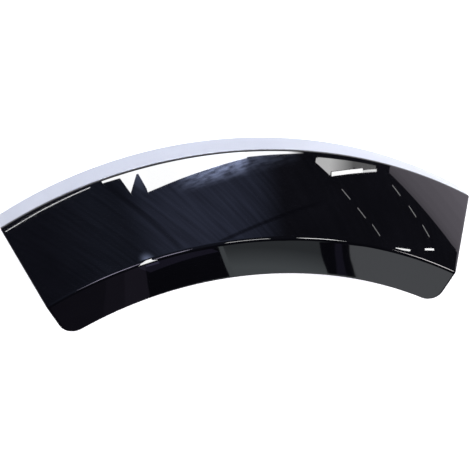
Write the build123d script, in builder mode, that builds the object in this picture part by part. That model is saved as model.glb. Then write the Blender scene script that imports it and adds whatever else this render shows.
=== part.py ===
from build123d import *
import os
from math import asin, atan2, cos, degrees, radians, sin, tan

# Pull handle of a dryer door: a short arc of hollow moulding that lies on its back, on the door.
# X runs along the chord, Y points away from the middle of the round door, Z points out of the door.
# The arc's axis is parallel to Z. The origin lies midway between the two door screws, at the door.
# Radii are measured from the arc's axis, heights from the door, angles from the middle of the arc.

# Outline of the section, from the door over the seam and the crest to the lip
seam_radius = 223.0
seam_height = 23.3
band_flare = 2.6
front_width = 33.2
front_rise = 28.7
lip_width = 17.6
lip_fall = 5.9

# Ends: a leaning plane cuts the front, and a steeper one through the same seam point cuts the base
half_angle = 28.9
end_skew = 2.9
front_lean = 10.0
base_lean = 6.0
lip_corner_round = 6.0

# Black front
shell_wall = 2.6
rim_drop = 1.0
seam_round = 1.5
crest_round = 2.0
lip_edge_round = 1.0
guide_wall = 1.4
guide_reach = 4.0

# Silver base
base_wall = 2.4
grip_setback = 19.0
grip_draft = 8.0
rib_wall = 1.8
rib_height = 14.0
rib_lift = 1.0
shelf_height = 8.0
shelf_wall = 2.4
shelf_half_angle = 4.0
band_edge_round = 0.4

# Fits between the two
groove_gap = 0.6
fit_gap = 0.3

# Bosses for the two door screws
boss_setback = 10.0
boss_inset_angle = 12.9
boss_diameter = 9.0
boss_height = 16.0
boss_bore = 3.4
boss_cap = 3.0

# Screws that hold the front on the base, and the pillars that they go into
pillar_setback = 11.0
pillar_inset_angle = 4.9
pillar_diameter = 7.0
screw_core = 2.2
screw_length = 9.5
screw_tip = 0.8
screw_head = 5.6
screw_head_height = 2.2
screw_head_round = 1.2
pilot_gap = 0.1
pilot_spare = 2.0
shelf_hole_gap = 0.5
drive_length = 3.0
drive_width = 0.8
drive_depth = 1.2

# Radii, heights, slopes and angles that follow
rear_radius = seam_radius + band_flare
crest_radius = seam_radius - front_width
lip_radius = crest_radius - lip_width
grip_foot_radius = seam_radius - grip_setback
boss_radius = seam_radius - boss_setback
pillar_radius = seam_radius - pillar_setback
crest_height = seam_height + front_rise
lip_height = crest_height - lip_fall
rim_height = seam_height - rim_drop
base_height = rim_height - groove_gap
shelf_top = shelf_height + shelf_wall
front_slope = atan2(front_rise, front_width)
lip_slope = atan2(lip_fall, lip_width)
band_slope = atan2(band_flare, seam_height)
grip_wall = base_wall / cos(radians(grip_draft))
end_turn = half_angle - end_skew
boss_angle = half_angle - boss_inset_angle
end_pillar_angle = half_angle - pillar_inset_angle
centre_setback = boss_radius * cos(radians(boss_angle))

# The section is swept this far to each side, past the planes that cut the ends
sweep_margin = 8.0
sweep_half = half_angle + sweep_margin
front_ends = (front_lean,)
base_ends = (front_lean, base_lean)
arc_axis = Axis((0, -centre_setback, 0), (0, 0, 1))


def on_arc(radius, angle, height=0.0):
    """Place on the arc at a radius, an angle to the right of its middle and a height."""
    turn = radians(angle)
    return Vector(radius * sin(turn), radius * cos(turn) - centre_setback, height)


def section_at(angle):
    """Plane of the arc's section at an angle, with radius as its x and height as its y."""
    turn = radians(angle)
    return Plane(arc_axis.position, x_dir=(sin(turn), cos(turn), 0), z_dir=(cos(turn), -sin(turn), 0))


def end_plane(side, lean_angle):
    """Leaning plane that cuts the right end (side 1) or the left end (side -1), facing outwards."""
    turn = radians(end_turn)
    lean = radians(lean_angle)
    facing = (side * cos(turn) * cos(lean), -sin(turn) * cos(lean), sin(lean))
    return Plane(on_arc(seam_radius, side * half_angle, seam_height), z_dir=facing)


def trim_ends(leans, inset=0.0):
    """Cut the part in hand at both ends by planes of these leans, some way in from the end faces."""
    for lean in leans:
        for side in (-1, 1):
            split(bisect_by=end_plane(side, lean).offset(-inset), keep=Keep.BOTTOM)


def front_height(radius, depth):
    """Height of the surface that lies a depth under the front face, at a radius."""
    return seam_height + (seam_radius - radius) * tan(front_slope) - depth / cos(front_slope)


def front_radius(height, depth):
    """Radius of the surface that lies a depth under the front face, at a height."""
    return seam_radius - (height - seam_height + depth / cos(front_slope)) / tan(front_slope)


def band_radius(height, depth):
    """Radius of the surface that lies a depth inside the silver band, at a height."""
    return rear_radius - height * tan(band_slope) - depth / cos(band_slope)


def grip_radius(height, shift):
    """Radius of the grip wall's finger side, shifted outwards, at a height."""
    return grip_foot_radius + shift - height * tan(radians(grip_draft))


def grip_top(shift, depth):
    """Point of the section where that line meets the surface a depth under the front face."""
    rise = front_height(grip_foot_radius + shift, depth)
    height = rise / (1 - tan(radians(grip_draft)) * tan(front_slope))
    return (grip_radius(height, shift), height)


def end_angle(radius, height):
    """Angle at which a circle of the arc, at a radius and a height, meets the front's end plane."""
    reach = seam_radius * sin(radians(half_angle - end_turn))
    reach += (seam_height - height) * tan(radians(front_lean))
    return end_turn + degrees(asin(reach / radius))


def lip_corner(side):
    """Lip corner at one end: its place, and the ways along the free edge, the end and the thickness."""
    angle = end_angle(lip_radius, lip_height)
    step = degrees(corner_chord * lip_corner_round / lip_radius)
    corner = on_arc(lip_radius, side * angle, lip_height)
    along = on_arc(lip_radius, side * (angle - step), lip_height)
    crest_end = on_arc(crest_radius, side * end_angle(crest_radius, crest_height), crest_height)
    below = on_arc(under_lip[0], side * end_angle(*under_lip), under_lip[1])
    return corner, along - corner, crest_end - corner, below - corner


# The cut that rounds a lip corner starts from a chord of the free edge, this many corner radii long
corner_chord = 1.3

# Most of the wall that each rounding of the lip's edge may take
lip_round_limit = 0.45

# Inner corners of the folded sheet, under the crest and under the lip
fold = shell_wall / (1 + cos(front_slope + lip_slope))
under_crest = (
    crest_radius + fold * (sin(lip_slope) - sin(front_slope)),
    crest_height - fold * (cos(lip_slope) + cos(front_slope)),
)
under_lip = (lip_radius + shell_wall * sin(lip_slope), lip_height - shell_wall * cos(lip_slope))

# Places along the arc: shell screws, door screws, and the ribs beside them
screw_places = [on_arc(pillar_radius, angle) for angle in (-end_pillar_angle, 0, end_pillar_angle)]
boss_places = [on_arc(boss_radius, side * boss_angle) for side in (-1, 1)]
end_shelf_angle = end_pillar_angle - shelf_half_angle
right_ribs = (shelf_half_angle, boss_angle - shelf_half_angle, boss_angle, end_shelf_angle)
rib_angles = [side * angle for side in (-1, 1) for angle in right_ribs]

# Each screw shelf starts at an angle and runs leftwards: left end, middle, right end
end_shelf_sweep = sweep_half - end_shelf_angle
shelf_spans = (
    (-end_shelf_angle, end_shelf_sweep),
    (shelf_half_angle, 2 * shelf_half_angle),
    (sweep_half, end_shelf_sweep),
)

# Space under the front, up to halfway into its wall, in which the pillars end
with BuildPart() as under_front:
    with BuildSketch(section_at(sweep_half)):
        with BuildLine():
            Polyline(
                (grip_foot_radius, 0),
                (front_radius(0, shell_wall / 2), 0),
                (grip_foot_radius, front_height(grip_foot_radius, shell_wall / 2)),
                close=True,
            )
        make_face()
    revolve(axis=arc_axis, revolution_arc=2 * sweep_half)

# Pillars that the shell screws go into, standing on the shelves of the base
with BuildPart() as pillars:
    with BuildSketch(Plane.XY.offset(shelf_top)):
        with Locations(*screw_places):
            Circle(pillar_diameter / 2)
    extrude(amount=crest_height)
    add(under_front.part, mode=Mode.INTERSECT)

# Space under the front from end to end, above the groove
with BuildPart() as front_space:
    with BuildSketch(section_at(sweep_half)):
        with BuildLine():
            Polyline(
                (grip_radius(rim_height, grip_wall + fit_gap), rim_height),
                (front_radius(rim_height, shell_wall / 2), rim_height),
                grip_top(grip_wall + fit_gap, shell_wall / 2),
                close=True,
            )
        make_face()
    revolve(axis=arc_axis, revolution_arc=2 * sweep_half)
    trim_ends(front_ends)

# The same space inside the two end panels
with BuildPart() as front_hollow:
    add(front_space.part)
    trim_ends(front_ends, shell_wall)

# Two thin guides under the front, which drop just inside the base's walls
band_guide_radius = band_radius(base_height, base_wall) - fit_gap
band_guide_inside = band_guide_radius - guide_wall
grip_guide_shift = grip_wall + fit_gap
grip_guide_foot = grip_top(grip_guide_shift, shell_wall)[1] - guide_reach
with BuildPart() as guides:
    with BuildSketch(section_at(sweep_half)):
        with BuildLine():
            Polyline(
                (band_guide_radius, base_height - guide_reach),
                (band_guide_radius, front_height(band_guide_radius, shell_wall / 2)),
                (band_guide_inside, front_height(band_guide_inside, shell_wall / 2)),
                (band_guide_inside, base_height - guide_reach),
                close=True,
            )
        make_face()
        with BuildLine():
            Polyline(
                (grip_radius(grip_guide_foot, grip_guide_shift), grip_guide_foot),
                grip_top(grip_guide_shift, shell_wall / 2),
                grip_top(grip_guide_shift + guide_wall, shell_wall / 2),
                (grip_radius(grip_guide_foot, grip_guide_shift + guide_wall), grip_guide_foot),
                close=True,
            )
        make_face()
    revolve(axis=arc_axis, revolution_arc=2 * sweep_half)
    trim_ends(base_ends, base_wall + fit_gap)

# Black front: the folded sheet with its rounded lip corners, and what stands under it
with BuildPart() as front_shell:
    with BuildSketch(section_at(sweep_half)) as sheet:
        with BuildLine():
            Polyline(
                (band_radius(rim_height, 0), rim_height),
                (seam_radius, seam_height),
                (crest_radius, crest_height),
                (lip_radius, lip_height),
                under_lip,
                under_crest,
                (front_radius(rim_height, shell_wall), rim_height),
                close=True,
            )
        make_face()
        fillet(sheet.vertices().sort_by(Axis.Y)[-1], radius=crest_round)
        lip_round = min(lip_edge_round, lip_round_limit * shell_wall)
        fillet(sheet.vertices().sort_by(Axis.X)[:2], radius=lip_round)
        fillet(sheet.vertices().sort_by(Axis.X)[-2], radius=seam_round)
    revolve(axis=arc_axis, revolution_arc=2 * sweep_half)
    trim_ends(front_ends)
    for side in (-1, 1):
        corner, free_edge, end_edge, thickness = lip_corner(side)
        half_corner = radians(free_edge.get_angle(end_edge)) / 2
        tangent = lip_corner_round / tan(half_corner)
        with BuildSketch(Plane(corner, x_dir=free_edge, z_dir=free_edge.cross(end_edge))):
            with BuildLine():
                Polyline(
                    (tangent, lip_corner_round),
                    (tangent, -shell_wall),
                    (-shell_wall / tan(half_corner), -shell_wall),
                    (
                        tangent * cos(2 * half_corner) - shell_wall * sin(2 * half_corner),
                        tangent * sin(2 * half_corner) + shell_wall * cos(2 * half_corner),
                    ),
                    close=True,
                )
            make_face()
            with Locations((tangent, lip_corner_round)):
                Circle(lip_corner_round, mode=Mode.SUBTRACT)
        extrude(amount=2 * shell_wall, dir=thickness, both=True, mode=Mode.SUBTRACT)
    add(front_space.part)
    add(front_hollow.part, mode=Mode.SUBTRACT)
    add(guides.part)
    add(pillars.part)
    with BuildSketch(Plane.XY.offset(shelf_top)):
        with Locations(*screw_places):
            Circle(screw_core / 2 + pilot_gap)
    extrude(amount=screw_length - shelf_wall + pilot_spare, mode=Mode.SUBTRACT)

# Space between the base's two walls, up to halfway into each
with BuildPart() as channel:
    with BuildSketch(section_at(sweep_half)):
        with BuildLine():
            Polyline(
                (grip_radius(0, grip_wall / 2), 0),
                (band_radius(0, base_wall / 2), 0),
                (band_radius(base_height, base_wall / 2), base_height),
                (grip_radius(base_height, grip_wall / 2), base_height),
                close=True,
            )
        make_face()
    revolve(axis=arc_axis, revolution_arc=2 * sweep_half)
    trim_ends(base_ends)

# The same space inside the base's end walls
with BuildPart() as channel_hollow:
    add(channel.part)
    trim_ends(base_ends, base_wall)

# Ribs, screw shelves and door screw bosses that tie the base's walls together
with BuildPart() as webs:
    for angle in rib_angles:
        with BuildSketch(section_at(angle)):
            with Locations(((grip_foot_radius + rear_radius) / 2, (rib_lift + rib_height) / 2)):
                Rectangle(rear_radius - grip_foot_radius, rib_height - rib_lift)
        extrude(amount=rib_wall / 2, both=True)
    for start, width in shelf_spans:
        with BuildSketch(section_at(start)):
            with Locations(((grip_foot_radius + rear_radius) / 2, shelf_height + shelf_wall / 2)):
                Rectangle(rear_radius - grip_foot_radius, shelf_wall)
        revolve(axis=arc_axis, revolution_arc=width)
    with BuildSketch(Plane.XY):
        with Locations(*boss_places):
            Circle(boss_diameter / 2)
    extrude(amount=boss_height)
    add(channel.part, mode=Mode.INTERSECT)

# Silver base: the band wall, the grip wall and the end walls, with the webs between them
with BuildPart() as base_frame:
    add(channel.part)
    add(channel_hollow.part, mode=Mode.SUBTRACT)
    add(webs.part)
    with BuildSketch(section_at(sweep_half)) as band_wall:
        with BuildLine():
            Polyline(
                (band_radius(0, 0), 0),
                (band_radius(base_height, 0), base_height),
                (band_radius(base_height, base_wall), base_height),
                (band_radius(0, base_wall), 0),
                close=True,
            )
        make_face()
        fillet(band_wall.vertices().sort_by(Axis.X)[-1], radius=band_edge_round)
        fillet(band_wall.vertices().group_by(Axis.Y)[-1].sort_by(Axis.X)[-1], radius=band_edge_round)
    with BuildSketch(section_at(sweep_half)):
        with BuildLine():
            Polyline(
                (grip_radius(0, 0), 0),
                grip_top(0, shell_wall + fit_gap),
                grip_top(grip_wall, shell_wall + fit_gap),
                (grip_radius(0, grip_wall), 0),
                close=True,
            )
        make_face()
    revolve(axis=arc_axis, revolution_arc=2 * sweep_half)
    trim_ends(base_ends)
    with BuildSketch(Plane.XY):
        with Locations(*boss_places):
            Circle(boss_bore / 2)
    extrude(amount=boss_height - boss_cap, mode=Mode.SUBTRACT)
    with BuildSketch(Plane.XY.offset(shelf_height)):
        with Locations(*screw_places):
            Circle(screw_core / 2 + shelf_hole_gap)
    extrude(amount=shelf_wall, mode=Mode.SUBTRACT)

# Three pan-head screws, put in from the back through the shelves into the pillars
with BuildPart() as shell_screws:
    with BuildSketch(Plane.XY.offset(shelf_height)):
        with Locations(*screw_places):
            Circle(screw_head / 2)
    extrude(amount=-screw_head_height)
    fillet(shell_screws.edges().group_by(Axis.Z)[0], radius=screw_head_round)
    with BuildSketch(Plane.XY.offset(shelf_height - screw_head_height)):
        with Locations(*screw_places):
            Rectangle(drive_length, drive_width)
            Rectangle(drive_width, drive_length)
    extrude(amount=drive_depth, mode=Mode.SUBTRACT)
    with BuildSketch(Plane.XY.offset(shelf_height)):
        with Locations(*screw_places):
            Circle(screw_core / 2)
    extrude(amount=screw_length)
    chamfer(shell_screws.edges().group_by(Axis.Z)[-1], length=screw_tip)

front_shell.part.label = "front_shell"
base_frame.part.label = "base_frame"
shell_screws.part.label = "shell_screws"

os.makedirs("parts", exist_ok=True)
export_step(front_shell.part, "parts/front_shell.step")
export_step(base_frame.part, "parts/base_frame.step")
export_step(shell_screws.part, "parts/shell_screws.step")
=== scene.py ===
from math import asin, atan2, ceil, cos, pi, radians, sin, tan

import bmesh
import bpy
from mathutils import Euler, Matrix, Vector


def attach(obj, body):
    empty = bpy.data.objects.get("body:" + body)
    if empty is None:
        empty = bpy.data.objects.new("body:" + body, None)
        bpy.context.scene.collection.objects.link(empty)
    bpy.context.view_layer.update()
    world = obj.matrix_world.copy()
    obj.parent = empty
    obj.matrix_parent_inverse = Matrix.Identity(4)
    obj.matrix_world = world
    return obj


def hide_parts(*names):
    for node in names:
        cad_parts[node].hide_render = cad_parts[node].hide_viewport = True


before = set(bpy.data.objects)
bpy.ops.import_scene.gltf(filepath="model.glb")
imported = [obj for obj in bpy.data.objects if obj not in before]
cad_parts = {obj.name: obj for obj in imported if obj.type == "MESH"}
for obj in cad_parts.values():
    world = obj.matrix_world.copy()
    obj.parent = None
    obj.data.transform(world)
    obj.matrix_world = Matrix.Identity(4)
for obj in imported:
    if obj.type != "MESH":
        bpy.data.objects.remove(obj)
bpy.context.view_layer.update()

# Section of the handle: radius from the arc's axis and height above the door, in metres
seam_radius = 0.2230
seam_height = 0.0233
band_flare = 0.0026
front_width = 0.0332
front_rise = 0.0287
lip_width = 0.0176
lip_fall = 0.0059
cover_wall = 0.0026
rim_drop = 0.0010
seam_round = 0.0015
crest_round = 0.0020
crest_inside_round = 0.0004
lip_corner = 0.0072
cover_edge_round = 0.0007

# Silver base under the cover
base_wall = 0.0024
groove_gap = 0.0006
fit_gap = 0.0003
grip_setback = 0.0190
grip_draft = radians(8.0)
guide_wall = 0.0014
guide_reach = 0.0040
shelf_top = 0.0104

# Ends and screws
half_angle = radians(28.9)
end_turn = radians(26.0)
cover_lean = radians(10.0)
boss_radius = 0.2130
boss_angle = radians(16.0)
pillar_radius = 0.2120
pillar_angle = radians(24.0)
pillar_diameter = 0.0070
pilot_diameter = 0.0024
pilot_depth = 0.0091

# What follows from them
rim_height = seam_height - rim_drop
base_height = rim_height - groove_gap
crest_height = seam_height + front_rise
crest_radius = seam_radius - front_width
lip_radius = crest_radius - lip_width
lip_height = crest_height - lip_fall
front_slope = atan2(front_rise, front_width)
lip_slope = atan2(lip_fall, lip_width)
band_slope = atan2(band_flare, seam_height)
grip_wall = base_wall / cos(grip_draft)
arc_centre = Vector((0, -boss_radius * cos(boss_angle), 0))

# Mesh: distances at which vertices are one and places are equal, and steps between rows and columns
weld = 1e-7
slack = 1e-6
edge_support = 0.0003
rows_per_radius = 8
front_row_step = 0.0050
lip_row_step = 0.0040
column_step = 0.0030
end_column_step = 0.0026


# Places on the handle

def on_arc(radius, angle, height):
    """Place at a radius from the arc's axis, an angle to the right of its middle and a height."""
    return arc_centre + Vector((radius * sin(angle), radius * cos(angle), height))


def end_angle(radius, height):
    """Angle at which a circle of the arc meets the plane that cuts the cover's end."""
    reach = seam_radius * sin(half_angle - end_turn) + (seam_height - height) * tan(cover_lean)
    return end_turn + asin(reach / radius)


def under_front(radius, depth):
    """Height of the surface a depth under the sloping front, at a radius."""
    return seam_height + (seam_radius - radius) * tan(front_slope) - depth / cos(front_slope)


def grip_line(height):
    """Radius of the line just outside the grip wall, at a height."""
    return seam_radius - grip_setback + grip_wall + fit_gap - height * tan(grip_draft)


def grip_top(depth):
    """Radius and height at which that line meets the surface a depth under the front."""
    rise = under_front(grip_line(0), depth)
    height = rise / (1 - tan(grip_draft) * tan(front_slope))
    return Vector((grip_line(height), height))


# Lines of the section, as straight and round stretches

def stretches(corners, rounds):
    """Stretches of a line with rounded inner corners: (length, start, heading, curvature) of each."""
    found = []
    start = corners[0]
    for before, corner, after, round_radius in zip(corners, corners[1:], corners[2:], rounds):
        heading = atan2(*(corner - before).yx)
        turn = (atan2(*(after - corner).yx) - heading) % (2 * pi)
        tangent = round_radius * tan(turn / 2)
        bend = corner - tangent * (corner - before).normalized()
        found.append(((bend - start).length, start, heading, 0))
        found.append((round_radius * turn, bend, heading, 1 / round_radius))
        start = corner + tangent * (after - corner).normalized()
    last = corners[-1] - start
    found.append((last.length, start, atan2(*last.yx), 0))
    return found


def along(line, way):
    """Point at a way along a line of stretches."""
    for length, start, heading, curvature in line:
        if way <= length or line[-1][1] is start:
            break
        way -= length
    if curvature == 0:
        return start + way * Vector((cos(heading), sin(heading)))
    turned = heading + way * curvature
    return start + Vector((sin(turned) - sin(heading), cos(heading) - cos(turned))) / curvature


fold = cover_wall / (1 + cos(front_slope + lip_slope))
rim_point = Vector((seam_radius + rim_drop * tan(band_slope), rim_height))
seam_point = Vector((seam_radius, seam_height))
crest_point = Vector((crest_radius, crest_height))
lip_point = Vector((lip_radius, lip_height))
rim_setback = (cover_wall / cos(front_slope) - rim_drop) / tan(front_slope)
rim_inside = Vector((seam_radius - rim_setback, rim_height))
fold_heading = Vector((sin(lip_slope) - sin(front_slope), -cos(lip_slope) - cos(front_slope)))
crest_inside = crest_point + fold * fold_heading
lip_inside = lip_point + cover_wall * Vector((sin(lip_slope), -cos(lip_slope)))
outside_line = stretches((rim_point, seam_point, crest_point, lip_point), (seam_round, crest_round))
inside_line = stretches((rim_inside, crest_inside, lip_inside), (crest_inside_round,))

# Ways along the outside line at which a stretch ends: rim, seam round, front, crest round, lip
outside_ends = [sum(piece[0] for piece in outside_line[:n + 1]) for n in range(len(outside_line))]
rim_end, seam_end, front_end, crest_end, lip_end = outside_ends
panel_top_share = (grip_top(cover_wall) - rim_inside).length / inside_line[0][0]
panel_top = panel_top_share * front_end


def cover_outside(way):
    """Radius and height on the outside of the cover."""
    return along(outside_line, way)


def cover_inside(way):
    """Radius and height on the inside of the cover, opposite that place."""
    front, crest, lip = (piece[0] for piece in inside_line)
    if way <= front_end:
        return along(inside_line, front * way / front_end)
    if way <= crest_end:
        return along(inside_line, front + crest * (way - front_end) / (crest_end - front_end))
    return along(inside_line, front + crest + lip * (way - crest_end) / (lip_end - crest_end))


def panel_inside(way):
    """The same inside an end panel, which fills the space between the front and the grip wall."""
    if way >= panel_top:
        return cover_inside(way)
    share = way / panel_top
    return Vector((grip_line(rim_height), rim_height)).lerp(grip_top(cover_wall), share)


# Mesh tools

def everything(bm):
    """All of a mesh's vertices, edges and faces, as a list for an operator."""
    return bm.verts[:] + bm.edges[:] + bm.faces[:]


def cut(bm, place, facing, faces=None, clear=False):
    """Cut a mesh, or some of its faces, along a plane, and clear what lies in front of it if asked."""
    geometry = everything(bm)
    if faces is not None:
        edges = {edge for face in faces for edge in face.edges}
        corners = {vert for face in faces for vert in face.verts}
        geometry = [*corners, *edges, *faces]
    return bmesh.ops.bisect_plane(
        bm, geom=geometry, dist=weld, plane_co=place, plane_no=facing, clear_outer=clear
    )["geom_cut"]


def finished(bm, name, materials, sharpest=radians(35)):
    """Turn a mesh into a piece that rides on the handle, smooth but for its sharp edges."""
    bmesh.ops.remove_doubles(bm, verts=bm.verts, dist=weld)
    bmesh.ops.recalc_face_normals(bm, faces=bm.faces)
    for face in bm.faces:
        face.smooth = True
    for edge in bm.edges:
        edge.smooth = edge.is_manifold and edge.calc_face_angle(0) < sharpest
    mesh = bpy.data.meshes.new(name)
    bm.to_mesh(mesh)
    bm.free()
    for material in materials:
        mesh.materials.append(material)
    piece = bpy.data.objects.new(name, mesh)
    bpy.context.scene.collection.objects.link(piece)
    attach(piece, "root")
    return piece


def merge(bm, other):
    """Add another mesh to a mesh."""
    carrier = bpy.data.meshes.new("carrier")
    other.to_mesh(carrier)
    other.free()
    bm.from_mesh(carrier)
    bpy.data.meshes.remove(carrier)


def spread(start, end, step):
    """Evenly spaced values between two values, without the ends, no further apart than a step."""
    count = ceil(abs(end - start) / step)
    return [start + (end - start) * n / count for n in range(1, count)]


# Front cover

def flat_cover(half_width, ring):
    """The cover as a flat sheet with round lip corners: x along the arc, y the way from rim to lip."""
    bm = bmesh.new()
    bmesh.ops.create_grid(bm, x_segments=1, y_segments=1, size=1)
    spare = 2 * ring
    middle = (lip_end - spare) / 2
    bmesh.ops.scale(bm, vec=(half_width, lip_end - middle, 1), verts=bm.verts)
    bmesh.ops.translate(bm, vec=(0, middle, 0), verts=bm.verts)
    lip_corners = [vert for vert in bm.verts if vert.co.y > middle]
    bmesh.ops.bevel(
        bm, geom=lip_corners, offset=lip_corner, offset_type="OFFSET", affect="VERTICES",
        segments=12, profile=0.5, material=-1,
    )
    bmesh.ops.inset_region(bm, faces=bm.faces[:], thickness=ring, use_boundary=True, use_even_offset=True)
    cut(bm, (0, 0, 0), (0, -1, 0), clear=True)
    return bm


def cover_rows():
    """Ways along the section at which the cover's mesh has a row of vertices, up to its lip corners."""
    rows = [rim_end, seam_end, seam_end + edge_support, panel_top, front_end - edge_support, front_end]
    rows += spread(rim_end, seam_end, seam_round / rows_per_radius)
    rows += spread(seam_end, front_end, front_row_step)
    rows += spread(front_end, crest_end, crest_round / rows_per_radius)
    rows += [crest_end, crest_end + edge_support, lip_end - lip_corner]
    rows += spread(crest_end, lip_end - lip_corner, lip_row_step)
    return sorted(rows)


def fold_cover(bm, half_width, panel_width):
    """Give the flat sheet its wall, bend it to its section and round its edges."""
    inner = bmesh.ops.extrude_face_region(bm, geom=bm.faces[:])["geom"]
    inner = {item for item in inner if isinstance(item, bmesh.types.BMVert)}
    walls = {face for face in bm.faces if 0 < len(inner.intersection(face.verts)) < len(face.verts)}
    for face in bm.faces:
        face.material_index = 1 if inner.issuperset(face.verts) else 0
    rounded = [
        edge for edge in bm.edges
        if len(walls.intersection(edge.link_faces)) == 1 and max(v.co.y for v in edge.verts) > slack
    ]
    for vert in bm.verts:
        share, way = vert.co.x / half_width, max(vert.co.y, 0)
        if vert not in inner:
            point = cover_outside(way)
        elif abs(vert.co.x) > half_width - panel_width:
            point = panel_inside(way)
        else:
            point = cover_inside(way)
        vert.co = on_arc(point.x, share * end_angle(*point), point.y)
    bmesh.ops.recalc_face_normals(bm, faces=bm.faces)
    bmesh.ops.bevel(
        bm, geom=rounded, offset=cover_edge_round, offset_type="OFFSET", affect="EDGES",
        segments=4, profile=0.5, material=-1, clamp_overlap=True,
    )


def add_guides(bm):
    """Two thin guides under the front, which drop just inside the base's walls."""
    band_inside = seam_radius + (seam_height - base_height) * tan(band_slope) - base_wall / cos(band_slope)
    band_side = band_inside - fit_gap
    middle = cover_wall / 2
    foot = grip_top(cover_wall).y - guide_reach
    top = grip_top(middle)
    profiles = (
        (
            (band_side, base_height - guide_reach),
            (band_side, under_front(band_side, middle)),
            (band_side - guide_wall, under_front(band_side - guide_wall, middle)),
            (band_side - guide_wall, base_height - guide_reach),
        ),
        (
            (grip_line(foot), foot),
            tuple(top),
            (top.x + guide_wall, under_front(top.x + guide_wall, middle)),
            (grip_line(foot) + guide_wall, foot),
        ),
    )
    inset = (base_wall + fit_gap) / seam_radius
    reach = end_angle(grip_line(crest_height), crest_height) - 2 * inset
    for profile in profiles:
        section = bm.faces.new([bm.verts.new(on_arc(r, -reach, h)) for r, h in profile])
        section.material_index = 1
        bmesh.ops.spin(
            bm, geom=[section, *section.edges, *section.verts], axis=(0, 0, 1), cent=arc_centre,
            angle=-2 * reach, steps=48, use_duplicate=False,
        )


def add_pillars(bm):
    """Pillars for the cover's screws, each with its pilot bore, cut off inside the front's wall."""
    pilot_top = shelf_top + pilot_depth
    profile = (
        (0, pilot_top), (pilot_diameter / 2, pilot_top), (pilot_diameter / 2, shelf_top),
        (pillar_diameter / 2, shelf_top), (pillar_diameter / 2, crest_height), (0, crest_height),
    )
    for angle in (-pillar_angle, 0, pillar_angle):
        pillar = bmesh.new()
        foot = on_arc(pillar_radius, angle, 0)
        line = [pillar.verts.new(foot + Vector((radius, 0, height))) for radius, height in profile]
        edges = [pillar.edges.new(pair) for pair in zip(line, line[1:])]
        bmesh.ops.spin(
            pillar, geom=line + edges, axis=(0, 0, 1), cent=foot, angle=2 * pi, steps=32, use_merge=True,
        )
        bmesh.ops.remove_doubles(pillar, verts=pillar.verts, dist=weld)
        top = on_arc(pillar_radius, angle, under_front(pillar_radius, cover_wall / 2))
        facing = Vector((sin(angle) * sin(front_slope), cos(angle) * sin(front_slope), cos(front_slope)))
        rim = cut(pillar, top, facing, clear=True)
        rim = [item for item in rim if isinstance(item, bmesh.types.BMEdge)]
        bmesh.ops.contextual_create(pillar, geom=rim)
        for face in pillar.faces:
            face.material_index = 1
        merge(bm, pillar)


def front_cover(gloss, moulded):
    """Glossy front: a folded sheet with rounded lip corners, its end panels, guides and pillars."""
    half_width = lip_radius * end_angle(lip_radius, lip_height)
    ring = 0.0012
    panel_width = 0.0020
    step_in = 0.00002
    bm = flat_cover(half_width, ring)
    for way in cover_rows():
        cut(bm, (0, way, 0), (0, 1, 0))
    last = half_width - lip_corner
    for place in (-last, *spread(-last, last, column_step), last):
        cut(bm, (place, 0, 0), (1, 0, 0))
    near_end = spread(last, half_width - panel_width, end_column_step)
    for place in (*near_end, half_width - panel_width - step_in, half_width - panel_width + step_in):
        for side in (-1, 1):
            limit = lip_end - lip_corner + slack
            faces = [face for face in bm.faces if max(v.co.y for v in face.verts) < limit]
            cut(bm, (side * place, 0, 0), (1, 0, 0), faces)
    fold_cover(bm, half_width, panel_width)
    add_guides(bm)
    add_pillars(bm)
    return finished(bm, "front_cover", (gloss, moulded))


# Node tools

def add(tree, kind, inputs=None, **settings):
    """Add a node to a tree, with its settings, and its inputs as plain values or other nodes' outputs."""
    made = tree.nodes.new(kind)
    for name, value in settings.items():
        setattr(made, name, value)
    for name, value in (inputs or {}).items():
        if isinstance(value, bpy.types.NodeSocket):
            tree.links.new(value, made.inputs[name])
        else:
            made.inputs[name].default_value = value
    return made


def calc(tree, operation, *values):
    """Output of a maths node."""
    return add(tree, "ShaderNodeMath", dict(enumerate(values)), operation=operation).outputs[0]


def blend(tree, share, first, second):
    """Output of a node that mixes two colours."""
    return add(tree, "ShaderNodeMix", {0: share, 6: first, 7: second}, data_type="RGBA").outputs[2]


def remap(tree, value, low, high, new_low, new_high):
    """Output of a node that maps a value from one range to another."""
    spans = {"Value": value, "From Min": low, "From Max": high, "To Min": new_low, "To Max": new_high}
    return add(tree, "ShaderNodeMapRange", spans).outputs["Result"]


def on_object(tree, stretch=(1, 1, 1)):
    """Object coordinates, stretched."""
    where = add(tree, "ShaderNodeTexCoord").outputs["Object"]
    return add(tree, "ShaderNodeMapping", {"Vector": where, "Scale": stretch}).outputs["Vector"]


def noise(tree, where, scale, detail=2.0):
    """Output of a noise texture."""
    inputs = {"Vector": where, "Scale": scale, "Detail": detail}
    return add(tree, "ShaderNodeTexNoise", inputs).outputs["Fac"]


def new_group(name, inputs, outputs):
    """A node group with number inputs and outputs; returns the group, its inputs and its output node."""
    group = bpy.data.node_groups.new(name, "ShaderNodeTree")
    for socket in inputs:
        group.interface.new_socket(socket, in_out="INPUT", socket_type="NodeSocketFloat")
    for socket in outputs:
        group.interface.new_socket(socket, in_out="OUTPUT", socket_type="NodeSocketFloat")
    return group, add(group, "NodeGroupInput").outputs, add(group, "NodeGroupOutput")


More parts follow.
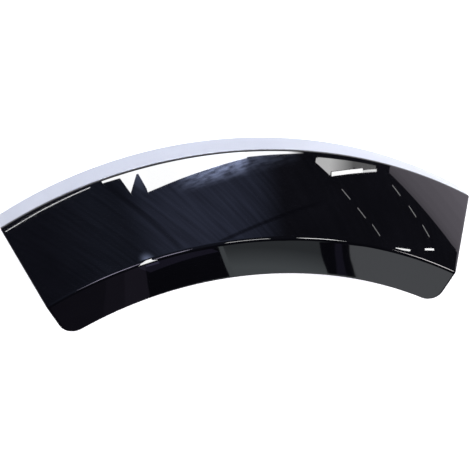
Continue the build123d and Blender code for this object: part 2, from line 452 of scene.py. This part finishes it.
def dust_group():
    """Sparse dust specks: one in some cells of a cell texture, of different sizes."""
    group, given, out = new_group("dust", ("Cells per metre", "Share", "Speck"), ("Mask",))
    cells = add(
        group, "ShaderNodeTexVoronoi", {"Vector": on_object(group), "Scale": given["Cells per metre"]},
    )
    chance = add(group, "ShaderNodeSeparateColor", {"Color": cells.outputs["Color"]})
    present = calc(group, "LESS_THAN", chance.outputs["Red"], given["Share"])
    size = calc(group, "MULTIPLY", given["Speck"], chance.outputs["Green"])
    inside = calc(group, "LESS_THAN", cells.outputs["Distance"], size)
    group.links.new(calc(group, "MULTIPLY", present, inside), out.inputs["Mask"])
    return group


def rub_group():
    """Faint rub marks and haze: soft patches, crossed by fine hairlines."""
    inputs = ("Patches per metre", "Hairlines per metre")
    group, given, out = new_group("rub_marks", inputs, ("Haze", "Hairline"))
    patches = noise(group, on_object(group), given["Patches per metre"], 3.0)
    group.links.new(remap(group, patches, 0.42, 0.70, 0.0, 1.0), out.inputs["Haze"])
    lines = noise(group, on_object(group, (1.0, 0.04, 0.3)), given["Hairlines per metre"], 1.0)
    group.links.new(remap(group, lines, 0.66, 0.74, 0.0, 1.0), out.inputs["Hairline"])
    return group


def grain_group():
    """Fine grain of a moulding, and the slow waves that cooling leaves in it."""
    group, given, out = new_group("moulding", ("Grain per metre", "Waves per metre"), ("Grain", "Wave"))
    group.links.new(noise(group, on_object(group), given["Grain per metre"], 3.0), out.inputs["Grain"])
    group.links.new(noise(group, on_object(group), given["Waves per metre"], 1.0), out.inputs["Wave"])
    return group


def new_material(name):
    """A material with an empty node tree, its shader and its output."""
    material = bpy.data.materials.new(name)
    material.use_nodes = True
    tree = material.node_tree
    tree.nodes.clear()
    shader = add(tree, "ShaderNodeBsdfPrincipled")
    add(tree, "ShaderNodeOutputMaterial", {"Surface": shader.outputs["BSDF"]})
    return material, tree, shader


def effect(tree, group, inputs):
    """Place a group in a material, set its inputs and give its outputs."""
    made = tree.nodes.new("ShaderNodeGroup")
    made.node_tree = group
    for name, value in inputs.items():
        made.inputs[name].default_value = value
    return made.outputs


def connect(tree, shader, **outputs):
    """Link outputs to the shader's inputs."""
    for name, output in outputs.items():
        tree.links.new(output, shader.inputs[name.replace("_", " ")])


def bumped(tree, height, depth):
    """Normal from a height map of a depth in metres."""
    inputs = {"Height": height, "Strength": 1.0, "Distance": depth}
    return add(tree, "ShaderNodeBump", inputs).outputs["Normal"]


def gloss_black(dust, rub, grain):
    """Polished black plastic, with a few dust specks, faint rub marks and slow waves in its mirror."""
    material, tree, shader = new_material("polished_black")
    specks = effect(tree, dust, {"Cells per metre": 110.0, "Share": 0.14, "Speck": 0.060})["Mask"]
    marks = effect(tree, rub, {"Patches per metre": 28.0, "Hairlines per metre": 900.0})
    mould = effect(tree, grain, {"Grain per metre": 2400.0, "Waves per metre": 45.0})
    plain = blend(tree, marks["Haze"], (0.0020, 0.0020, 0.0030, 1), (0.0032, 0.0032, 0.0046, 1))
    colour = blend(tree, specks, plain, (0.22, 0.22, 0.23, 1))
    rough = remap(tree, marks["Haze"], 0.0, 1.0, 0.010, 0.018)
    rough = calc(tree, "ADD", rough, calc(tree, "MULTIPLY", marks["Hairline"], 0.012))
    rough = calc(tree, "ADD", rough, calc(tree, "MULTIPLY", specks, 0.5))
    connect(tree, shader, Base_Color=colour, Roughness=rough, Normal=bumped(tree, mould["Wave"], 0.000004))
    shader.inputs["IOR"].default_value = 1.52
    return material


def moulded_black(dust, rub, grain):
    """The same plastic as it comes from the mould, where it isn't polished."""
    material, tree, shader = new_material("moulded_black")
    specks = effect(tree, dust, {"Cells per metre": 160.0, "Share": 0.25, "Speck": 0.08})["Mask"]
    marks = effect(tree, rub, {"Patches per metre": 60.0, "Hairlines per metre": 600.0})
    mould = effect(tree, grain, {"Grain per metre": 2600.0, "Waves per metre": 60.0})
    plain = blend(tree, marks["Haze"], (0.013, 0.013, 0.016, 1), (0.024, 0.024, 0.028, 1))
    colour = blend(tree, specks, plain, (0.16, 0.15, 0.14, 1))
    rough = remap(tree, marks["Haze"], 0.0, 1.0, 0.34, 0.50)
    connect(tree, shader, Base_Color=colour, Roughness=rough, Normal=bumped(tree, mould["Grain"], 0.00006))
    return material


def silver_coat(dust, rub, grain):
    """Pale silver coat with a lavender cast: fine flakes, a slight haze and a few specks of dust."""
    material, tree, shader = new_material("silver_coat")
    specks = effect(tree, dust, {"Cells per metre": 120.0, "Share": 0.12, "Speck": 0.06})["Mask"]
    marks = effect(tree, rub, {"Patches per metre": 35.0, "Hairlines per metre": 800.0})
    mould = effect(tree, grain, {"Grain per metre": 5200.0, "Waves per metre": 40.0})
    flakes = remap(tree, mould["Grain"], 0.35, 0.65, 0.0, 1.0)
    plain = blend(tree, flakes, (0.577, 0.614, 0.687, 1), (0.629, 0.665, 0.736, 1))
    colour = blend(tree, specks, plain, (0.30, 0.29, 0.30, 1))
    rough = remap(tree, marks["Haze"], 0.0, 1.0, 0.29, 0.36)
    rough = calc(tree, "ADD", rough, calc(tree, "MULTIPLY", specks, 0.4))
    connect(tree, shader, Base_Color=colour, Roughness=rough, Normal=bumped(tree, mould["Grain"], 0.000003))
    shader.inputs["Metallic"].default_value = 0.85
    return material


def zinc_steel(rub, grain):
    """Zinc-plated steel of the screws, slightly mottled."""
    material, tree, shader = new_material("zinc_steel")
    marks = effect(tree, rub, {"Patches per metre": 900.0, "Hairlines per metre": 3000.0})
    mould = effect(tree, grain, {"Grain per metre": 6000.0, "Waves per metre": 400.0})
    colour = blend(tree, marks["Haze"], (0.50, 0.50, 0.52, 1), (0.62, 0.61, 0.58, 1))
    rough = remap(tree, mould["Grain"], 0.3, 0.7, 0.30, 0.45)
    connect(tree, shader, Base_Color=colour, Roughness=rough, Normal=bumped(tree, mould["Wave"], 0.00002))
    shader.inputs["Metallic"].default_value = 1.0
    return material


# Stage

# The room that the front mirrors, in directions from the handle: right and up for one part straight back;
# a line is its height straight back and its slope
glow_direction = (-0.005, 0.933, 0.361)
glow_spread = radians(18.0)
haze_edge = (0.3495, -0.136)
sill_line = (0.4660, -0.1845)
post_line = (0.5360, 0.480)
streak_rise = radians(23.0)
streak_size = (0.200, 0.009, 1.0)
haze_grain = (0.045, 0.0045)
gap_place = (-0.232, 0.346, 0.0)
gap_size = (0.050, 0.040, 1.0)
flare_place = (-0.297, 0.492, 0.0)
flare_size = (0.055, 0.022, 1.0)

# Its colours, the strength of its brighter parts and the shade of its lines
dim_left = (0.055, 0.062, 0.100, 1)
dim_back = (0.112, 0.135, 0.215, 1)
dim_right = (0.045, 0.045, 0.060, 1)
dim_front = (0.020, 0.020, 0.030, 1)
glow_colour = (0.36, 0.42, 0.70, 1)
sky_colour = (0.52, 0.61, 0.95, 1)
haze_strength = 10.0
flare_strength = 6.0
gap_strength = 1.5
sill_shade = 0.65
post_shade = 0.40

# Floor, walls before and behind the handle, ceiling, and lamps to the right
floor_radius = 5.0
floor_clearance = 0.0001
wall_distance = 0.900
ceiling_height = 0.900
lamp_distance = 1.200
lip_light_level = 0.690
lip_light_drop = 0.090
lip_light_depth = 0.480

# Camera of the photograph: place in metres, turn about X, Y and Z in degrees, film and lens in millimetres
camera_place = (-0.0573, 0.0700, 0.3483)
camera_turn = (-15.018, -9.547, -1.810)
film_width = 36.0
focal_length = 57.45


def floor():
    """Pale floor that shows white, keeps the handle's shadow and can be seen through from below; in the
    handle's mirrors it glows, brighter to the right, as a painted reflection.
    """
    bm = bmesh.new()
    bmesh.ops.create_circle(bm, cap_ends=True, segments=96, radius=floor_radius)
    bmesh.ops.translate(bm, vec=(0, 0, -floor_clearance), verts=bm.verts)
    mesh = bpy.data.meshes.new("floor")
    bm.to_mesh(mesh)
    bm.free()
    material, tree, shader = new_material("pale_floor")
    shader.inputs["Base Color"].default_value = (0.86, 0.86, 0.87, 1)
    shader.inputs["Roughness"].default_value = 0.9
    shader.inputs["Specular IOR Level"].default_value = 0.0
    where = add(tree, "ShaderNodeTexCoord").outputs["Object"]
    right = add(tree, "ShaderNodeSeparateXYZ", {"Vector": where}).outputs["X"]
    away = add(tree, "ShaderNodeVectorMath", {0: where}, operation="LENGTH").outputs["Value"]
    path = add(tree, "ShaderNodeLightPath").outputs
    mirrored = calc(tree, "MAXIMUM", path["Is Glossy Ray"], path["Is Transmission Ray"])
    # Painted reflection: the floor glows for mirrored rays, more to the right, which brightens the silver
    # band's right end
    pale = calc(tree, "MULTIPLY", mirrored, remap(tree, right, 0.02, 0.20, 0.30, 0.90))
    white = calc(tree, "MULTIPLY", path["Is Camera Ray"], remap(tree, away, 0.30, 1.20, 0.70, 1.00))
    seen = calc(tree, "MAXIMUM", pale, white)
    shader.inputs["Emission Color"].default_value = (1, 1, 1, 1)
    tree.links.new(seen, shader.inputs["Emission Strength"])
    below = add(tree, "ShaderNodeNewGeometry").outputs["Backfacing"]
    clear = add(tree, "ShaderNodeBsdfTransparent").outputs["BSDF"]
    both = add(tree, "ShaderNodeMixShader", {0: below, 1: shader.outputs["BSDF"], 2: clear})
    tree.links.new(both.outputs[0], tree.nodes["Material Output"].inputs["Surface"])
    mesh.materials.append(material)
    made = bpy.data.objects.new("floor", mesh)
    bpy.context.scene.collection.objects.link(made)


def fading(tree, value, start, end):
    """1 where a value is at its start or before it, falling smoothly to 0 at its end."""
    mask = remap(tree, value, start, end, 1.0, 0.0)
    mask.node.interpolation_type = "SMOOTHSTEP"
    return mask


def over_line(tree, across, up, line):
    """How far a direction lies above a line, given by its height straight back and its slope."""
    height, slope = line
    return calc(tree, "SUBTRACT", up, calc(tree, "MULTIPLY_ADD", across, slope, height))


def soft_spot(tree, where, place, size):
    """1 at a place, falling smoothly to 0 at the rim of an ellipse of a size around it."""
    inputs = {"Vector": where, "Location": place, "Scale": size}
    ellipse = add(tree, "ShaderNodeMapping", inputs, vector_type="TEXTURE").outputs["Vector"]
    apart = add(tree, "ShaderNodeVectorMath", {0: ellipse}, operation="LENGTH").outputs["Value"]
    return fading(tree, apart, 0.0, 1.0)


def surroundings():
    """White behind the handle; for the light, a dim room with a blue glow and haze at the back."""
    world = bpy.data.worlds.new("studio")
    bpy.context.scene.world = world
    world.use_nodes = True
    tree = world.node_tree
    tree.nodes.clear()
    direction = add(tree, "ShaderNodeTexCoord").outputs["Generated"]
    parts = add(tree, "ShaderNodeSeparateXYZ", {"Vector": direction}).outputs
    ahead = calc(tree, "MAXIMUM", parts["Y"], 0.05)
    across = calc(tree, "DIVIDE", parts["X"], ahead)
    up = calc(tree, "DIVIDE", parts["Z"], ahead)

    room = blend(tree, remap(tree, parts["X"], -0.56, -0.40, 0.0, 1.0), dim_left, dim_back)
    room = blend(tree, remap(tree, parts["X"], -0.10, 0.30, 0.0, 1.0), room, dim_right)
    room = blend(tree, remap(tree, parts["Y"], -0.2, 0.2, 0.0, 1.0), dim_front, room)
    towards = add(tree, "ShaderNodeVectorMath", {0: direction, 1: glow_direction}, operation="DOT_PRODUCT")
    glow = fading(tree, towards.outputs["Value"], 1.0, cos(glow_spread))
    room = blend(tree, glow, room, glow_colour)

    # Streaks, and darker lines along a sill and a post
    flat = add(tree, "ShaderNodeCombineXYZ", {"X": across, "Y": up}).outputs["Vector"]
    inputs = {"Vector": flat, "Rotation": (0, 0, streak_rise), "Scale": streak_size}
    turned = add(tree, "ShaderNodeMapping", inputs, vector_type="TEXTURE").outputs["Vector"]
    streaks = noise(tree, turned, 1.0)
    shade = remap(tree, streaks, 0.35, 0.65, 0.72, 1.15)
    sill = fading(tree, calc(tree, "ABSOLUTE", over_line(tree, across, up, sill_line)), 0.001, 0.005)
    sill = calc(tree, "MULTIPLY", sill, fading(tree, across, 0.04, 0.02))
    sill = calc(tree, "MULTIPLY", sill, fading(tree, across, 0.46, 0.54))
    post = fading(tree, calc(tree, "ABSOLUTE", over_line(tree, across, up, post_line)), 0.004, 0.012)
    post = calc(tree, "MULTIPLY", post, fading(tree, across, -0.16, -0.12))
    sill = calc(tree, "MULTIPLY", sill, sill_shade)
    post = calc(tree, "MULTIPLY", post, post_shade)
    lines = calc(tree, "MAXIMUM", sill, post)
    shade = calc(tree, "MULTIPLY", shade, calc(tree, "SUBTRACT", 1.0, lines))

    # Haze along the window, a flare by the crest's glint and a glow in the gap between two panes
    above = over_line(tree, across, up, haze_edge)
    wide = calc(tree, "DIVIDE", across, haze_grain[0])
    high = calc(tree, "DIVIDE", above, haze_grain[1])
    stretched = add(tree, "ShaderNodeCombineXYZ", {"X": wide, "Y": high}).outputs["Vector"]
    patches = noise(tree, stretched, 1.0, 4.0)
    haze = calc(tree, "MULTIPLY", fading(tree, above, 0.0, 0.028), fading(tree, across, 0.06, -0.12))
    reach = fading(tree, across, 0.165, 0.215)
    reach = calc(tree, "MAXIMUM", reach, remap(tree, across, 0.20, 0.42, 0.25, 0.0))
    haze = calc(tree, "MULTIPLY", haze, calc(tree, "MULTIPLY", reach, fading(tree, above, -0.03, -0.06)))
    haze = calc(tree, "MULTIPLY", haze, remap(tree, patches, 0.36, 0.62, 0.20, 1.0))
    flare = soft_spot(tree, flat, flare_place, flare_size)
    flare = calc(tree, "MULTIPLY", calc(tree, "POWER", flare, 2.0), flare_strength)
    gap = calc(tree, "MULTIPLY", soft_spot(tree, flat, gap_place, gap_size), gap_strength)
    light = calc(tree, "MULTIPLY_ADD", haze, haze_strength, calc(tree, "ADD", flare, gap))
    dim = add(tree, "ShaderNodeBackground", {"Color": room, "Strength": shade}).outputs[0]
    sky = add(tree, "ShaderNodeBackground", {"Color": sky_colour, "Strength": light})
    both = add(tree, "ShaderNodeAddShader", {0: dim, 1: sky.outputs[0]}).outputs[0]
    white = add(tree, "ShaderNodeBackground", {"Color": (1, 1, 1, 1), "Strength": 1.0}).outputs[0]
    path = add(tree, "ShaderNodeLightPath").outputs
    shown = add(tree, "ShaderNodeMixShader", {0: path["Is Camera Ray"], 1: both, 2: white})
    add(tree, "ShaderNodeOutputWorld", {"Surface": shown.outputs[0]})


def panel_light(name, middle, outward, up, size, brightness, tint=(1, 1, 1)):
    """Flat rectangular light with its back outwards; brightness 1 is as bright as a white surface."""
    back = Vector(outward).normalized()
    rise = (Vector(up) - Vector(up).project(back)).normalized()
    lamp = bpy.data.lights.new(name, "AREA")
    lamp.shape = "RECTANGLE"
    lamp.size, lamp.size_y = size
    lamp.color = tint
    lamp.energy = brightness * pi * lamp.size * lamp.size_y
    made = bpy.data.objects.new(name, lamp)
    turn = Matrix((rise.cross(back), rise, back)).transposed()
    made.matrix_world = Matrix.Translation(middle) @ turn.to_4x4()
    made.visible_camera = False
    bpy.context.scene.collection.objects.link(made)
    return lamp


def fade(lamp, axis, start, end, share):
    """Let a light fall to a share of its brightness, between two places along an axis."""
    lamp.use_nodes = True
    tree = lamp.node_tree
    spot = add(tree, "ShaderNodeNewGeometry").outputs["Position"]
    place = add(tree, "ShaderNodeSeparateXYZ", {"Vector": spot}).outputs[axis]
    strength = remap(tree, place, start, end, 1.0, share)
    tree.links.new(strength, tree.nodes["Emission"].inputs["Strength"])


def wall_light(name, left, right, depth, brightness, nearer=0.0):
    """Light in or before the wall behind the handle, hung from a top edge given by its ends' x and z."""
    back = Vector((0, 1, 0))
    start, end = (Vector((x, wall_distance - nearer, z)) for x, z in (left, right))
    rise = (end - start).cross(back).normalized()
    middle = (start + end) / 2 - depth / 2 * rise
    return panel_light(name, middle, back, rise, ((end - start).length, depth), brightness)


def lip_light(name, middle, width, slant, brightness, tint=(1, 1, 1)):
    """Light in the wall before the lip: x of its middle at one height, its width and its slant."""
    rise = Vector((tan(radians(slant)), 0, 1))
    place = Vector((middle, -wall_distance, lip_light_level)) - lip_light_drop * rise
    return panel_light(name, place, (0, -1, 0), rise, (width, lip_light_depth), brightness, tint)


def lip_patch(name, left, right, height, brightness, tint, nearer):
    """Light before the opposite wall, standing on a lower edge given by its ends' x and z."""
    back = Vector((0, -1, 0))
    start, end = (Vector((x, nearer - wall_distance, z)) for x, z in (left, right))
    rise = back.cross(end - start).normalized()
    middle = (start + end) / 2 + height / 2 * rise
    panel_light(name, middle, back, rise, ((end - start).length, height), brightness, tint)


def ceiling_light(name, left, right, near, far, brightness, tint=(1, 1, 1), slant=0.0):
    """Light in the ceiling, between two values of x and two of y, its far end turned to the left."""
    middle = ((left + right) / 2, (near + far) / 2, ceiling_height)
    ahead = (-sin(radians(slant)), cos(radians(slant)), 0)
    panel_light(name, middle, (0, 0, 1), ahead, (right - left, far - near), brightness, tint)


def aimed_light(name, seen_from, bearing, elevation, size, brightness, tint=(1, 1, 1), fall=0.0):
    """Light seen from a place on the front: degrees right of straight back, up, and of its slope."""
    turn, rise, drop = radians(bearing), radians(elevation), radians(fall)
    outward = Vector((sin(turn) * cos(rise), cos(turn) * cos(rise), sin(rise)))
    up = Vector((0, 0, 1)) * cos(drop) + Vector((cos(turn), -sin(turn), 0)) * sin(drop)
    panel_light(name, Vector(seen_from) + lamp_distance * outward, outward, up, size, brightness, tint)


def window_lights():
    """A long window low behind the handle, and a farther one with a bright strip along its top."""
    white = 22.0
    wall_light("window_left", (-1.000, 0.3924), (-0.455, 0.3464), 0.0010, white)
    wall_light("window_strip", (-0.400, 0.3425), (-0.236, 0.3344), 0.030, white)
    wall_light("window_corner", (-0.302, 0.3690), (-0.256, 0.3340), 0.040, white)
    wall_light("window_edge", (-0.251, 0.3347), (-0.2318, 0.3693), 0.020, white)
    wall_light("window_main", (-0.234, 0.3710), (0.168, 0.3120), 0.060, white)
    last_pane = wall_light("window_right", (0.168, 0.3104), (0.400, 0.2895), 0.040, white)
    fade(last_pane, "X", 0.330, 0.400, 0.02)
    pale = 9.5
    far_panes = (
        wall_light("far_edge", (0.453, 0.3012), (0.490, 0.3111), 0.0095, pale),
        wall_light("far_window", (0.480, 0.3084), (0.525, 0.3205), 0.019, pale),
        wall_light("far_corner", (0.525, 0.3124), (0.640, 0.2940), 0.0132, pale),
        wall_light("far_pane", (0.462, 0.3035), (0.764, 0.2829), 0.0125, pale),
    )
    for pane in far_panes:
        fade(pane, "X", 0.520, 0.640, 0.20)
    wall_light("far_sill", (0.530, 0.3197), (0.690, 0.2935), 0.0085, 21.0, nearer=0.004)
    wall_light("far_sill_end", (0.690, 0.2935), (0.768, 0.2807), 0.0050, 14.0, nearer=0.004)


def room_lights():
    """A wall and lamps to the right of the handle, and ceiling panels over its crest."""
    # Elevation of each sheet's top, and brightness: they add up, so the wall is brighter lower down
    wall_sheets = ((10.85, 1.02), (10.50, 0.17), (10.05, 0.15), (9.20, 0.10), (8.00, 0.12), (6.80, 0.14))
    wall_size = (0.712, 0.270)
    half_height = 6.4
    for top, brightness in wall_sheets:
        aimed_light(
            "side_wall", (0.080, -0.010, 0.035), 56.6, top - half_height, wall_size, brightness,
            (1.0, 0.92, 1.05), fall=3.1,
        )
    near_lamps = (
        ((0.0425, -0.0020, 0.0365), 32.3, 16.30),
        ((0.0480, -0.0090, 0.0420), 36.1, 16.65),
        ((0.0530, -0.0160, 0.0465), 39.8, 16.80),
    )
    far_lamps = (
        ((0.0680, -0.0025, 0.0315), 43.2, 12.35),
        ((0.0740, -0.0115, 0.0375), 47.3, 12.35),
        ((0.0780, -0.0195, 0.0425), 51.0, 12.30),
    )
    lamp_size = (0.046, 0.0022)
    lamp_brightness = 4.0
    for seen_from, bearing, elevation in near_lamps:
        aimed_light("near_lamp", seen_from, bearing, elevation, lamp_size, lamp_brightness, fall=-9.0)
    for seen_from, bearing, elevation in far_lamps:
        aimed_light("far_lamp", seen_from, bearing, elevation, lamp_size, lamp_brightness, fall=-5.5)
    aimed_light("near_strip", (0.064, -0.025, 0.050), 46.5, 15.8, (0.080, 0.0034), 20.0, fall=20.0)
    aimed_light("far_strip", (0.078, -0.027, 0.048), 52.5, 13.1, (0.050, 0.0040), 20.0, fall=25.0)
    mauve = (0.95, 0.88, 1.15)
    ceiling_light("ceiling_left", -0.300, -0.147, 0.060, 0.260, 7.0, mauve)
    ceiling_light("ceiling_lamp", -0.180, -0.152, -0.250, 0.850, 22.0, slant=14.5)
    ceiling_light("ceiling_lamp_end", -0.0168, 0.0112, -0.420, -0.250, 22.0, slant=12.7)
    ceiling_light("ceiling_near", -0.105, -0.020, 0.060, 0.260, 7.0, mauve)
    ceiling_light("ceiling_middle", 0.075, 0.190, 0.120, 0.270, 12.0)
    ceiling_light("ceiling_right", 0.275, 0.390, 0.100, 0.280, 22.0)
    ceiling_light("ceiling_end", 0.610, 0.760, -0.080, 0.260, 16.0, (1.0, 0.95, 0.97))


def lip_lights():
    """Dim cards before the lip; the near one is two, as its edges aren't parallel, and fades upwards."""
    pale = (0.90, 1.0, 1.05)
    violet = (0.90, 0.80, 1.50)
    plum = (1.0, 0.85, 1.30)
    lip_light("lip_card_left", 0.0670, 0.074, 0.0, 0.045, plum)
    lip_light("lip_card_side", 0.1100, 0.012, 0.0, 0.080, plum)
    lip_light("lip_card_corner", 0.1230, 0.014, 0.0, 0.125, plum)
    lip_light("lip_card_rim", 0.1794, 0.003, 3.4, 1.00, pale)
    near_cards = (
        lip_light("lip_card_near", 0.2019, 0.042, 3.4, 1.09, pale),
        lip_light("lip_card_edge", 0.2181, 0.025, 14.9, 1.09, pale),
    )
    for card in near_cards:
        fade(card, "Z", 0.655, 0.700, 0.41)
    lip_light("lip_card_gap", 0.2372, 0.0028, 18.0, 0.10, violet)
    lip_light("lip_card_far", 0.3151, 0.1396, 18.8, 1.20, (0.96, 1.0, 1.06))
    lip_patch("lip_strip", (0.1317, 0.6735), (0.1765, 0.6905), 0.050, 0.13, violet, 0.004)
    lip_patch("lip_glow", (0.1290, 0.6850), (0.1375, 0.6850), 0.025, 0.40, violet, 0.008)


def camera():
    """Camera above the handle, on the silver band's side."""
    lens = bpy.data.cameras.new("camera")
    lens.sensor_width = film_width
    lens.lens = focal_length
    lens.clip_start = 0.01
    made = bpy.data.objects.new("camera", lens)
    made.location = camera_place
    made.rotation_euler = Euler([radians(turn) for turn in camera_turn])
    bpy.context.scene.collection.objects.link(made)
    bpy.context.scene.camera = made


effects = dust_group(), rub_group(), grain_group()
cover = front_cover(gloss_black(*effects), moulded_black(*effects))
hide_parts("front_shell")
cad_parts["base_frame"].material_slots[0].material = silver_coat(*effects)
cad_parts["shell_screws"].material_slots[0].material = zinc_steel(*effects[1:])
floor()
surroundings()
window_lights()
room_lights()
lip_lights()
camera()
bpy.context.scene.view_settings.view_transform = "Standard"
